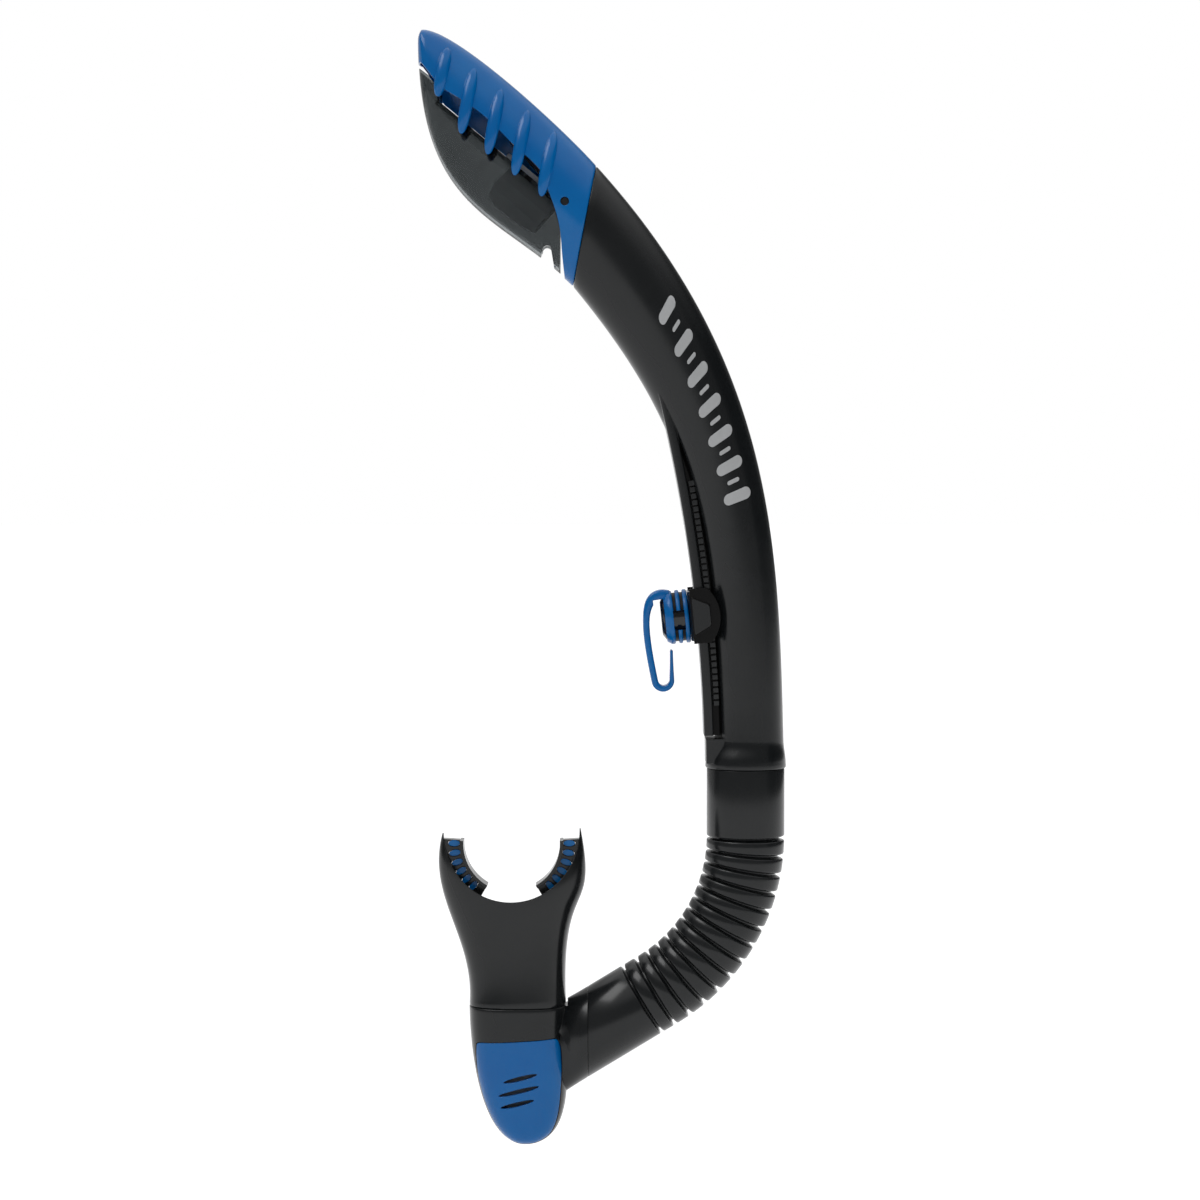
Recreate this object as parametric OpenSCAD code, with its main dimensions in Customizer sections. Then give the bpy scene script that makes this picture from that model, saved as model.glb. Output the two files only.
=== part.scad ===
// Dry-top snorkel: curved barrel with a float valve on top, a ratchet strap keeper,
// a corrugated hose, a junction with a purge valve and a soft mouthpiece.
// Millimetres. +X away from the wearer's face, +Z up, +Y away from the front.
// Origin at the strap loop of the keeper.

/* [Barrel] */
// Depth of the barrel along the rail, front to back
barrel_depth = 27; // [26:0.5:28]
// Wall of the barrel
barrel_wall = 2.2; // [1.8:0.1:2.5]
// Rim of the barrel's lower end, diameter
rim_d = 31.3; // [31:0.1:32]

/* [Rail and keeper] */
// Spacing of the ratchet teeth
tooth_pitch = 2.5; // [2.3:0.1:2.8]
// Number of ratchet teeth on each side
tooth_count = 35; // [20:1:36]
// Clearance of the keeper on its rail
keeper_gap = 0.3; // [0.25:0.05:0.4]
// Height of the keeper along the rail
keeper_h = 19; // [16:1:22]
// Radius of the strap hook's swivel hub
hub_r = 10.4; // [9.8:0.1:11]
// Width of the strap hook's band, front to back
hook_w = 9; // [7:0.5:12]

/* [Hose] */
// Outside radius of the hose's rings
hose_r = 15.05; // [14.8:0.05:15.2]
// Radius of the grooves between the rings
groove_r = 12.9; // [12.5:0.1:13.4]
// Number of rings
ring_count = 13; // [10:1:14]
// Radius of the hose's bend
bend_r = 70; // [66:1:76]

/* [Dry top] */
// Angle through which the float lifts to close the mouth
float_lift = 7; // [5:0.5:7]
// Radius of the float's hinge pin
pin_r = 1.6; // [1.4:0.1:1.8]
// Wall of the guard
guard_wall = 2; // [1.8:0.1:2.2]

/* [Mouthpiece and purge] */
// Number of ovals on each bite wing
stud_count = 6; // [4:1:6]
// Radius of the purge diaphragm
purge_r = 9; // [8.4:0.1:9.1]

/* [Hidden] */
sides = 28;
// barrel edges, in the plane of the bend
outer = [[48.2, -38.6], [46.4, 39.1], [45.3, 109.8], [-24.1, 186]];
inner = [[21.7, -38.6], [18.6, 46.2], [15.2, 81.3], [-33, 139.7]];
// dry-top edges
crown = [[-24.1, 186], [-37.4, 200.9], [-79.7, 239.6], [-91.1, 238]];
keel = [[-33, 139.7], [-61.1, 167.5], [-92.6, 167.2], [-92.6, 234.2]];
// rail arc
rail_c = [-595.2, -48.6];
rail_r = 612.6;
keep_a = 5.825;
keep_x = rail_c[0] + rail_r * cos(keep_a);
keep_z = rail_c[1] + rail_r * sin(keep_a);
// float hinge
pin = [-36.2, 171.4];
tilt = 39.8;
// hose
hose_x = 33.5;
hose_top = -71.8;
bend_a = 58.8;
hose_len = bend_r * bend_a * PI / 180 + 6.6;
seam_x = -27.5;
pitch = hose_len / ring_count;
// junction edges
jun_l = [[-73.4, -137.3], [-73, -160], [-68, -191.1], [-52, -191.1]];
jun_r = [[-35.9, -137.3], [-36.5, -160], [-30, -191.1], [-52, -191.1]];
// mouthpiece edges
lip_l = [[-73.4, -137.3], [-71.1, -111.4], [-90.5, -95.9], [-83.8, -71]];
lip_r = [[-35.9, -137.3], [-38.2, -85.9], [-23.1, -105.2], [-30.3, -69.1]];
bite = [-56.9, -74.6];
purge = [-54, -168.5];
jun_wall = 2.8;

// ---------- helpers ----------
function bz(p, t) = pow(1 - t, 3) * p[0] + 3 * pow(1 - t, 2) * t * p[1]
    + 3 * (1 - t) * t * t * p[2] + t * t * t * p[3];
function smooth(t) = let (u = min(1, max(0, t))) u * u * (3 - 2 * u);

// oval ring through a and b, half depth h; da, db and dh pull it in, e squares it up
function sq(v, e) = sign(v) * pow(abs(v), 2 / e);
function ring(a, b, h, da = 0, db = 0, dh = 0, e = 2) =
    let (d = (a - b) / norm(a - b), p = a - d * da, q = b + d * db, c = (p + q) / 2, u = (p - q) / 2)
    [for (i = [0:sides - 1]) let (x = sq(cos(360 * i / sides), e), y = sq(sin(360 * i / sides), e))
        [c[0] + u[0] * x, (h - dh) * y, c[1] + u[1] * x]];

// solid through a stack of rings
module skin(rs) {
    n = len(rs[0]);
    m = len(rs);
    polyhedron(points = [for (r = rs) each r], faces = concat(
        [[for (i = [0:n - 1]) i]],
        [[for (i = [0:n - 1]) m * n - 1 - i]],
        [for (j = [0:m - 2], i = [0:n - 1]) [j * n + i, (j + 1) * n + i, (j + 1) * n + (i + 1) % n]],
        [for (j = [0:m - 2], i = [0:n - 1]) [j * n + i, (j + 1) * n + (i + 1) % n, j * n + (i + 1) % n]]));
}

// joins a lofted shape and its cuts into one body
module lofted() {
    resize([0, 0, 0])
        children();
}

// outline in the X-Z plane given a thickness across Y
module slab(pts, w) {
    rotate([90, 0, 0])
        translate([0, 0, -w])
            linear_extrude(2 * w)
                polygon(pts);
}

// ring section swept about the rail's centre, from angle a0 through da
module rail_sweep(a0, da) {
    translate([rail_c[0], 0, rail_c[1]])
        rotate([90, 0, 0])
            rotate([0, 0, a0])
                rotate_extrude(angle = da, $fn = 720)
                    children();
}

// x along the rail's radius, z along the rail
module keeper_frame() {
    translate([keep_x, 0, keep_z])
        rotate([0, -keep_a, 0])
            children();
}

// x along the float away from the pin, z away from the float
module pin_frame() {
    translate([pin[0], 0, pin[1]])
        rotate([0, tilt, 0])
            rotate([0, 0, 180])
                children();
}

module x_cyl(x0, x1, r) {
    translate([x0, 0, 0])
        rotate([0, 90, 0])
            cylinder(h = x1 - x0, r = r, $fn = 64);
}

module y_cyl(p, y0, y1, r) {
    translate([p[0], y1, p[1]])
        rotate([90, 0, 0])
            cylinder(h = y1 - y0, r = r, $fn = 64);
}

module z_cyl(x, z0, z1, r) {
    translate([x, 0, z0])
        cylinder(h = z1 - z0, r = r, $fn = 64);
}

// ---------- barrel ----------
function barrel_h(t) = barrel_depth / 2 + (15 - barrel_depth / 2) * smooth((t - 0.45) / 0.5);
function barrel_ring(t, d) = ring(bz(outer, t), bz(inner, t), barrel_h(t), d, d, d);
function foot_ring(z, r, d) = ring([hose_x + r, z], [hose_x - r, z], r, d, d, d);
function foot_mix(s, d) = let (r = rim_d / 2 - 0.1, z = -43.6 + 9 * s, w = smooth(s),
        a = [hose_x + r, z] * (1 - w) + [48.15, z] * w, b = [hose_x - r, z] * (1 - w) + [21.5, z] * w)
    ring(a, b, r * (1 - w) + barrel_depth / 2 * w, d, d, d);

module rail_section() {
    polygon([[612.6, -8.7], [613.1, -9.2], [615.7, -9.2], [616.2, -8.7], [616.2, -6.8], [625, -6.8],
        [625, 6.8], [616.2, 6.8], [616.2, 8.7], [615.7, 9.2], [613.1, 9.2], [612.6, 8.7]]);
}

module barrel_tube() {
    color("#2a2c2e")
    lofted()
        difference() {
            union() {
                skin([foot_ring(-45.5, rim_d / 2 - 0.7, 0), foot_ring(-45, rim_d / 2, 0),
                    for (s = [0:0.2:1]) foot_mix(s, 0),
                    for (i = [1:15]) barrel_ring(0.07 + 0.93 * i / 15, 0)]);
                rail_sweep(1.5, 12.9)
                    rail_section();
                // foot of the rail, below a slot
                rail_sweep(0.5, 0.87)
                    polygon([[613.2, -8.5], [613.9, -9.2], [625, -9.2],
                        [625, 9.2], [613.9, 9.2], [613.2, 8.5]]);
                for (i = [0:tooth_count - 1])
                    translate([rail_c[0], 0, rail_c[1]])
                        rotate([0, -2.65 - i * tooth_pitch / 618 * 180 / PI, 0])
                            translate([616.7, -8.2, -0.9])
                                cube([2.1, 16.4, 1.8]);
            }
            skin([foot_ring(-50, 10, 0), foot_ring(-38.5, 10, 0),
                for (i = [1:10]) barrel_ring(0.07 + 0.885 * i / 10, barrel_wall),
                for (i = [1:4]) barrel_ring(0.955 + i * 0.0165, barrel_wall)]);
            z_cyl(hose_x, -50, -36.9, 11.9);
        }
}

module hose_coupling() {
    color("#34373a")
    difference() {
        union() {
            z_cyl(hose_x, -63, -45.6, 12.2);
            z_cyl(hose_x, -46, -37, 11.8);
        }
        z_cyl(hose_x, -70, -30, 9.8);
    }
}

// ---------- keeper ----------
module jaw_section() {
    polygon([[609.9, -9.5], [611, -11.8], [617, -11.8], [618.4, -10.6],
        [618.4, -8.6], [616.2 + keeper_gap, -8.6],
        [616.2 + keeper_gap, -9.2 - keeper_gap], [612.6 - keeper_gap, -9.2 - keeper_gap],
        [612.6 - keeper_gap, 9.2 + keeper_gap], [616.2 + keeper_gap, 9.2 + keeper_gap],
        [616.2 + keeper_gap, 8.6], [618.4, 8.6], [618.4, 10.6], [617, 11.8], [611, 11.8], [609.9, 9.5]]);
}

module keeper_slider() {
    a = keeper_h / rail_r * 180 / PI;
    color("#1c1d1f")
    difference() {
        union() {
            rail_sweep(keep_a - a / 2, a)
                jaw_section();
            // raised faces of the jaws
            keeper_frame()
                for (side = [0, 1])
                    mirror([0, side, 0])
                        skin([[[-2.5, 11.5, 9], [5.8, 11.5, 5.8], [5.8, 11.5, -5.8], [-2.5, 11.5, -9]],
                            [[-1.3, 14, 7], [5.1, 14, 3.7], [5.1, 14, -3.7], [-1.3, 14, -7]]]);
            // ears that reach round the barrel
            for (s = [-1, 1])
                keeper_frame()
                    intersection() {
                        translate([-6, 0, 0])
                            rotate([90, 0, 0])
                                cylinder(h = 40, r = 15, center = true, $fn = 96);
                        translate([4, s * 12.35, 0])
                            cube([12, 1.7, keeper_h + 2], center = true);
                    }
        }
        keeper_frame()
            x_cyl(-3, -0.9, 5.1);
        // chamfered corners of the jaws
        keeper_frame()
            for (s = [-1, 1])
                translate([1.5, 0, s * (keeper_h / 2 + 2)])
                    rotate([0, s * 33, 0])
                        translate([5, 0, s * 3])
                            cube([16, 22.8, 6], center = true);
    }
}

module swivel_post() {
    color("#17181a")
    keeper_frame()
        union() {
            x_cyl(-2.9, -1, 5);
            x_cyl(-12.3, -2.8, 7.8);
            translate([-12.2, 0, 0])
                rotate([0, -90, 0])
                    cylinder(h = 1.3, r1 = 8.4, r2 = 6.4, $fn = 64);
        }
}

// middle line of the strap hook's band: down the side, round the turn, up to the tip
hook_path = [[3.4, 21], [-8.6, 23.6], [-5.2, 5], [-1.6, -12.2]];
hook_turn = [1.63, -11.5];
function band_p(t) = t < 1 ? bz(hook_path, t) :
    t < 2 ? hook_turn + 3.3 * [cos(192 + 168 * (t - 1)), sin(192 + 168 * (t - 1))] :
    hook_turn + [3.3 - 0.2 * (t - 2), 11.4 * (t - 2)];
function band_w(t) = 0.62 + 0.7 * smooth((3 - t) / 2) + 0.85 * smooth((0.55 - t) / 0.5);
function band_side(s, t) =
    let (p = band_p(t), q = band_p(t + 0.01), d = (q - p) / norm(q - p))
    p + s * band_w(t) * [d[1], -d[0]];

module strap_hook() {
    color("#0a5ca8")
    union() {
        difference() {
            keeper_frame()
                union() {
                    x_cyl(-9.9, -2.95, hub_r);
                    translate([-9.9, 0, 0])
                        rotate([0, -90, 0])
                            cylinder(h = 2.2, r1 = hub_r, r2 = 9, $fn = 64);
                }
            keeper_frame()
                x_cyl(-14, -2, 7.88);
            // slots that show the post
            keeper_frame()
                for (k = [0:3])
                    rotate([45 + 90 * k, 0, 0])
                        for (x = [-5.9, -8.7])
                            translate([x, -6.2, 5])
                                cube([1.2, 12.4, 8]);
            keeper_frame()
                for (s = [-1, 1])
                    translate([-6.7, s * 10, -1])
                        cube([4.4, 8, 7.5], center = true);
        }
        // band that carries the strap
        difference() {
            slab(concat([for (i = [0:52]) band_side(1, i * 3 / 52)],
                [for (i = [52:-1:0]) band_side(-1, i * 3 / 52)]), hook_w / 2);
            keeper_frame()
                x_cyl(-16, -2, 7.88);
            keeper_frame()
                x_cyl(-16, -12.14, 8.6);
        }
    }
}

// ---------- hose ----------
// centre and heading of the hose at length s below its upper cuff
function hose_p(s) = s < 0 ? [hose_x, hose_top - s] :
    let (f = min(s / bend_r * 180 / PI, bend_a), e = max(0, s - bend_r * bend_a * PI / 180))
    [hose_x - bend_r * (1 - cos(f)) - e * sin(f), hose_top - bend_r * sin(f) - e * cos(f)];
function hose_a(s) = s < 0 ? 0 : min(s / bend_r * 180 / PI, bend_a);
function hose_ring(s, r) = let (p = hose_p(s), f = hose_a(s), d = [-cos(f), sin(f)])
    ring(p + d * r, p - d * r, r);

module flex_hose() {
    color("#26282a")
    lofted()
        difference() {
            skin([hose_ring(-26.2, hose_r - 0.4), hose_ring(-25.8, hose_r), hose_ring(-0.4, hose_r),
                hose_ring(0, hose_r - 0.5),
                for (i = [0:ring_count - 1]) each [hose_ring(i * pitch + 0.95, groove_r),
                    hose_ring(i * pitch + 1.8, hose_r), hose_ring(i * pitch + pitch - 0.1, hose_r)],
                hose_ring(hose_len + 0.8, groove_r), hose_ring(hose_len + 1.6, hose_r),
                hose_ring(hose_len + 50, hose_r)]);
            skin([
                hose_ring(-30, 10.4),
                for (i = [0:8]) hose_ring(i * hose_len / 8, 10.4),
                hose_ring(hose_len + 60, 10.4)
            ]);
            z_cyl(hose_x, -63.2, -40, 12.25);
            branch_frame()
                x_cyl(7.4, 40, 12.3);
            translate([seam_x + 0.05 - 100, -50, -250])
                cube([100, 100, 200]);
        }
}

// ---------- dry top ----------
function top_h(t) = 4 + 11 * sqrt(max(0, 1 - pow(max(t, 0), 3.2)));
function top_ring(t, da, db, dh) = ring(bz(crown, t), bz(keel, t), top_h(t), da, db, dh);
module top_skin(t0, t1, n, da, db, dh) {
    skin([for (i = [0:n]) top_ring(t0 + (t1 - t0) * i / n, da, db, dh)]);
}

// outline of everything that the guard covers: windows in front, a closed wall behind
guard_edge = [[0, 120], [-30, 120], [-36.3, 142.4], [-37.1, 144],
    [-38, 160.6], [-39.6, 167.5], [-42.5, 175.6]];
front_edge = [[-46, 183.8], [-55.7, 192.9], [-65.2, 202.4], [-73.5, 208.7], [-81.8, 213.9], [-85.5, 217.6]];
back_edge = [[-43.2, 177.6], [-83.6, 211.3], [-86.4, 217.2]];
guard_top = [[-89.4, 222.6], [-91.1, 224.7], [-100, 225.6], [-100, 260], [0, 260]];
module guard_zone() {
    union() {
        slab(concat(guard_edge, front_edge, guard_top), 40);
        intersection() {
            slab(concat(guard_edge, back_edge, guard_top), 41);
            translate([-110, 0.5, 110])
                cube([120, 45, 160]);
        }
    }
}

// where a point of the side view lies in the stack of rings, and the half depth there
function side_of(p, t) = let (g = bz(crown, t), k = bz(keel, t))
    (g[0] - k[0]) * (p[1] - k[1]) - (g[1] - k[1]) * (p[0] - k[0]);
function find_t(p, lo = 0, hi = 1, n = 14) = n == 0 ? (lo + hi) / 2 : let (m = (lo + hi) / 2)
    side_of(p, m) * side_of(p, lo) > 0 ? find_t(p, m, hi, n - 1) : find_t(p, lo, m, n - 1);
function depth_at(p) = let (t = find_t(p), g = bz(crown, t), k = bz(keel, t), f = norm(p - k) / norm(g - k))
    top_h(t) * sqrt(max(0, 1 - pow(2 * f - 1, 2)));

// side fins: spindles that lie along the surface and taper to the lower end
function fin_r(v) = 2.4 * sqrt(1 - (v > 0.6 ? pow((v - 0.6) / 0.4, 2.4) : pow((0.6 - v) / 0.6, 4)));
function fin_ring(p, d, v) =
    let (c = p + d * v, u = d / norm(d), w = [u[1], -u[0]], r = fin_r(v), y = depth_at(c) - 0.3)
    [for (k = [0:7]) let (u = r * cos(45 * k)) [c[0] + w[0] * u, y + 0.8 * r * sin(45 * k), c[1] + w[1] * u]];
module fin(i, s) {
    l = i == 0 ? 19.4 : 25.8;
    p = [-80.9 + 10.15 * i, 230.3 - 7.95 * i];
    mirror([0, s < 0 ? 1 : 0, 0])
        skin([for (v = [0.02, 0.12, 0.34, 0.6, 0.8, 0.93, 0.985]) fin_ring(p, l * [-0.187, -0.982], v)]);
}

module top_guard() {
    color("#0a5ca8")
    lofted()
        difference() {
            union() {
                intersection() {
                    top_skin(0.002, 1, 14, 0, 0, 0);
                    guard_zone();
                }
                for (i = [0:4], s = [-1, 1])
                    fin(i, s);
            }
            top_skin(-0.03, 0.965, 13, guard_wall, guard_wall, guard_wall);
            y_cyl(pin, -20, 20, pin_r + 0.06);
        }
}

// plane that the seal closes against, and the duct's side of it
module duct_zone(up) {
    pin_frame()
        slab([[-30, 3.75 + up], [4.4 + up * 0.8, 3.75 + up],
            [4.4 + up * 0.8, 1.2 + up + 4.4 * tan(float_lift)],
            [60, 1.2 + up + 60 * tan(float_lift)], [60, 60], [-30, 60]], 40);
}

module valve_collar() {
    g = guard_wall + 0.08;
    color("#1f2123")
    lofted()
        difference() {
            union() {
                skin([for (i = [0:3]) barrel_ring(0.955 + i * 0.0165, barrel_wall + 0.08)]);
                skin([top_ring(0, g, g, g), top_ring(0.045, g, g, g)]);
                intersection() {
                    top_skin(0.012, 0.42, 7, g + 0.05, g + 0.05, g + 0.05);
                    duct_zone(0);
                    pin_frame()
                        translate([-30, -30, -10])
                            cube([62, 60, 60]);
                }
            }
            intersection() {
                top_skin(-0.06, 0.4, 7, g + 1.6, g + 1.6, g + 1.6);
                duct_zone(1.6);
                pin_frame()
                    translate([-40, -30, -10])
                        cube([70.4, 60, 60]);
            }
            skin([for (i = [0:4]) barrel_ring(0.934 + i * 0.0175, barrel_wall + 1.7)]);
            // mouth that the seal closes
            pin_frame()
                translate([7, -7, -5])
                    cube([20, 14, 14]);
        }
}

module float_pin() {
    color("#b8bcc0")
    y_cyl(pin, -12.7, 12.7, pin_r);
}

// the float's side outline
module float_zone() {
    pin_frame()
        slab([[3.4, -1.2], [61, -1.2], [63.5, 1.9], [70.6, 3.9], [90, 3.9],
            [90, -60], [-60, -60], [-26, -12], [0, -5]], 40);
}

module notch() {
    rotate([90, 0, 0])
        translate([0, 0, -40])
            linear_extrude(80)
                union() {
                    translate([-43.1, 153.4])
                        circle(r = 1.7, $fn = 32);
                    polygon([[-44.8, 153.6], [-41.4, 153.2], [-39.6, 142], [-50, 138], [-45.9, 149.6]]);
                }
}

module float_body() {
    color("#5a6265", 0.6)
    lofted()
        difference() {
            intersection() {
                top_skin(0.045, 0.94, 15, 3, 0.3, 3);
                float_zone();
            }
            top_skin(0.03, 0.93, 13, 4.5, 1.8, 4.5);
            notch();
            translate([-38, -30, 130])
                cube([20, 60, 60]);
            y_cyl(pin, -30, 30, 3.9);
        }
}

module float_lid() {
    color("#4c5356", 0.7)
    lofted()
        difference() {
            intersection() {
                top_skin(0.08, 0.92, 11, 4.58, 1.88, 4.58);
                pin_frame()
                    translate([5.2, -30, -2.7])
                        cube([57, 60, 1.5]);
            }
            pin_frame()
                translate([17, 0, -5])
                    cylinder(h = 8, r = 1.6, $fn = 64);
        }
}

module float_core() {
    color("#1b1c1e")
    difference() {
        union() {
            intersection() {
                slab([[-57.2, 184.4], [-63, 178.9], [-65.3, 174.5],
                    [-63, 170.6], [-55.7, 165], [-48.3, 160.5],
                    [-44.6, 158.8], [-41.2, 160], [-39, 165], [-36, 169], [-36, 180], [-50, 195]], 40);
                pin_frame()
                    translate([2, 0, 0])
                        rotate([90, 0, 90])
                            linear_extrude(60)
                                polygon([[-9.3, -2.8], [-9.3, -8], [-8, -13],
                                    [-5.2, -19], [5.2, -19], [8, -13],
                                    [9.3, -8], [9.3, -2.8]]);
            }
            for (s = [-1, 1])
                pin_frame()
                    translate([0, s * 7.6, 0])
                        slab([[0, 3.2], [4.9, -1], [4.9, -2.9], [10, -2.9], [10, -9], [0, -3.2]], 1.6);
            y_cyl(pin, -11.6, 11.6, 3.3);
        }
        y_cyl(pin, -20, 20, pin_r + 0.07);
        pin_frame()
            translate([17, 0, -5.4])
                cylinder(h = 8, r = 1.6, $fn = 64);
    }
}

module pad_outline(x0, x1, w, r) {
    union() {
        translate([x0 + r, -w])
            square([x1 - x0 - 2 * r, 2 * w]);
        translate([x0, -w + r])
            square([x1 - x0, 2 * w - 2 * r]);
        for (x = [x0 + r, x1 - r], y = [-w + r, w - r])
            translate([x, y])
                circle(r = r, $fn = 48);
    }
}

module seal_flap() {
    color("#8d9396")
    pin_frame()
        difference() {
            translate([0, 0, -1.15])
                linear_extrude(1.95)
                    pad_outline(5.4, 28.8, 8.8, 3);
            translate([17, 0, -3])
                cylinder(h = 6, r = 1.6, $fn = 64);
        }
}

module flap_retainer() {
    color("#0a5ca8")
    pin_frame()
        translate([17, 0, 0])
            union() {
                translate([0, 0, 0.85])
                    cylinder(h = 1, r1 = 4.2, r2 = 3.4, $fn = 64);
                translate([0, 0, -5.2])
                    cylinder(h = 6.2, r = 1.55, $fn = 64);
            }
}

// ---------- junction ----------
function jun_h(t) = 14.8 * sqrt(1 - pow(t, 4));
module jun_skin(t0, t1, n, d) {
    skin([for (i = [0:n]) let (t = t0 + (t1 - t0) * i / n)
        ring(bz(jun_l, t), bz(jun_r, t), jun_h(t), d, d, d, 2.7)]);
}

// x from the hose's last ring along its lower cuff towards the junction
module branch_frame() {
    p = hose_p(hose_len);
    translate([p[0], 0, p[1]])
        rotate([0, 90 + bend_a, 0])
            children();
}

// branch in upright sections from the hose's end: full depth there, shallower at the body
module branch(d) {
    p = hose_p(hose_len);
    r = (hose_r - d) / sin(bend_a);
    skin([for (i = [0:7]) let (x = seam_x - 2.6 * i, w = smooth((seam_x - 1 - x) / 11),
            z = p[1] + (x - p[0]) / tan(bend_a))
        ring([x, z + r + 0.4 * w], [x, z - r - 0.4 * w], hose_r - 5.2 * w - d)]);
}

shield = [[-70.3, -152.1], [-69.2, -150.7], [-40.6, -149.1], [-39, -150], [-37.8, -155], [-37.8, -165.6],
    [-39, -178], [-41.7, -185.6], [-46, -189], [-51.9, -190.3], [-57, -189.2], [-61.6, -186], [-65.8, -179.5],
    [-68.7, -169.8], [-70.2, -160]];
function toward(p, c, k) = [for (q = p) c + (q - c) * k];

module smoke_zone(y0) {
    difference() {
        slab([[-85, -156.5], [-62, -160], [-52, -167], [-43, -176.6],
            [-28, -176.6], [-28, -200], [-85, -200]], 30);
        translate([-100, -40, -220])
            cube([100, 40 + y0, 100]);
    }
}

module neck_ring(d, z0, z1) {
    skin([for (z = [z0, z1]) ring([-73.4, z], [-35.9, z], 14.8, d, d, d, 2.7)]);
}

module front_block(y0, y1) {
    translate([-100, y0, -220])
        cube([100, y1 - y0, 100]);
}

module junction_body() {
    color("#232527")
    lofted()
        union() {
            difference() {
                union() {
                    jun_skin(0, 0.985, 11, 0);
                    neck_ring(2.3, -128.5, -141);
                    difference() {
                        branch(0);
                        // room for the mouthpiece's lower edge
                        translate([-100, -50, -137.35])
                            cube([64.7, 100, 50]);
                    }
                    branch_frame()
                        x_cyl(8, 34, 12.2);
                }
                jun_skin(0, 0.93, 10, jun_wall);
                neck_ring(4.2, -120, -145);
                branch_frame()
                    x_cyl(0, 31.5, 10.2);
                branch(4);
                smoke_zone(-4.8);
                // seat of the purge cover
                intersection() {
                    slab(toward(shield, [-54, -171], 1.012), 40);
                    front_block(-40, -6.95);
                }
            }
            // floor that holds the purge seat
            difference() {
                intersection() {
                    jun_skin(0, 0.97, 12, 1.2);
                    slab(toward(shield, [-54, -171], 1.08), 40);
                    front_block(-6.95, -4.9);
                }
                y_cyl(purge, -20, 0, purge_r + 0.7);
            }
        }
}

module purge_seat() {
    color("#3a3d40")
    difference() {
        y_cyl(purge, -6.95, -5.15, purge_r + 0.6);
        for (k = [0:3])
            translate([purge[0], 0, purge[1]])
                rotate([0, 45 + 90 * k, 0])
                    translate([purge_r * 0.52, 0, 0])
                        rotate([90, 0, 0])
                            cylinder(h = 40, r = purge_r * 0.28, center = true, $fn = 48);
        y_cyl(purge, -20, 0, 1.1);
    }
}

module purge_valve() {
    color("#9aa0a3")
    union() {
        y_cyl(purge, -7.85, -7, purge_r);
        y_cyl(purge, -7.5, -3.4, 1);
        y_cyl(purge, -3.6, -2.6, 1.7);
    }
}

module purge_cover() {
    color("#0a5ca8")
    lofted()
        difference() {
            intersection() {
                jun_skin(0.02, 0.985, 12, 0);
                slab(shield, 40);
                front_block(-40, -7);
            }
            jun_skin(0, 0.92, 10, 1.8);
            // three plain grooves
            for (i = [-1:1])
                translate([-54 + i * 0.6, 0, -169 + i * 5])
                    rotate([90, -14, 0])
                        linear_extrude(40)
                            polygon([for (k = [0:13]) let (u = k * 360 / 14)
                                [(8 - abs(i) * 1.4) * cos(u), 0.9 * sin(u)]]);
        }
}

module purge_housing() {
    color("#6a7275", 0.6)
    lofted()
        difference() {
            intersection() {
                jun_skin(0.02, 0.985, 12, 0);
                smoke_zone(-4.75);
            }
            jun_skin(0, 0.94, 9, 2.3);
            // exhaust slots between upright ribs
            for (i = [0:4])
                translate([-60 + i * 4, 0, -186])
                    cube([2, 40, 14]);
        }
}

// ---------- mouthpiece ----------
function lip_h(t) = bz([14.8, 10.5, 20, 8.5], t);
module lip_skin(t0, t1, n, d) {
    skin([for (i = [0:n]) let (t = t0 + (t1 - t0) * i / n)
        ring(bz(lip_r, t), bz(lip_l, t), lip_h(t), d, d, d, 2.7 - 0.7 * smooth(t * 2))]);
}

// sector of a ring about the bite centre, on side s
module bite_arc(s, r0, r1, w, a0, a1, fine = 48) {
    translate([bite[0], 0, bite[1]])
        mirror([s < 0 ? 1 : 0, 0, 0])
            rotate([90, 0, 0])
                rotate([0, 0, -a1])
                    rotate_extrude(angle = a1 - a0, $fn = fine)
                        translate([r0, -w])
                            square([r1 - r0, 2 * w]);
}

module bite_stud(s, k, g, fine) {
    translate([bite[0], 0, bite[1]])
        mirror([s < 0 ? 1 : 0, 0, 0])
            rotate([0, k * 48 / (stud_count - 1), 0])
                translate([22.2, 0, 0])
                    scale([1.95, 1, 1])
                        rotate([90, 0, 0])
                            cylinder(h = 5.9, r = 1.15 + g, center = true, $fn = fine);
}

module bite_core(s, g, fine) {
    union() {
        bite_arc(s, 21 - g, 23.4 + g, 1.2 + g, -2 - g * 3, 50 + g * 3, fine * 3);
        for (k = [0:stud_count - 1])
            bite_stud(s, k, g, fine);
    }
}

module mouthpiece() {
    color("#242628")
    lofted()
        difference() {
            union() {
                difference() {
                    lip_skin(0, 1, 13, 0);
                    lip_skin(-0.02, 1.05, 13, 2);
                    // scooped edge of the lip flange
                    translate([bite[0] - 0.1, -13, -67.4])
                        rotate([-11, 0, 0])
                            scale([26.3 / 28.4, 1, 1])
                                rotate([90, 0, 0])
                                    cylinder(h = 90, r = 28.4, center = true, $fn = 60);
                }
                intersection() {
                    lip_skin(0.2, 1, 9, 0.5);
                    union()
                        for (s = [-1, 1]) {
                            bite_arc(s, 19.2, 40, 2.6, -3.5, 60);
                            bite_arc(s, 18.6, 19.9, 5.6, -3.5, 60);
                        }
                }
            }
            neck_ring(2.2, -128.3, -145);
            for (s = [-1, 1])
                bite_core(s, 0.1, 16);
        }
}

module bite_core_left() {
    color("#0a5ca8")
    bite_core(-1, 0, 48);
}

module bite_core_right() {
    color("#0a5ca8")
    bite_core(1, 0, 48);
}

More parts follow.
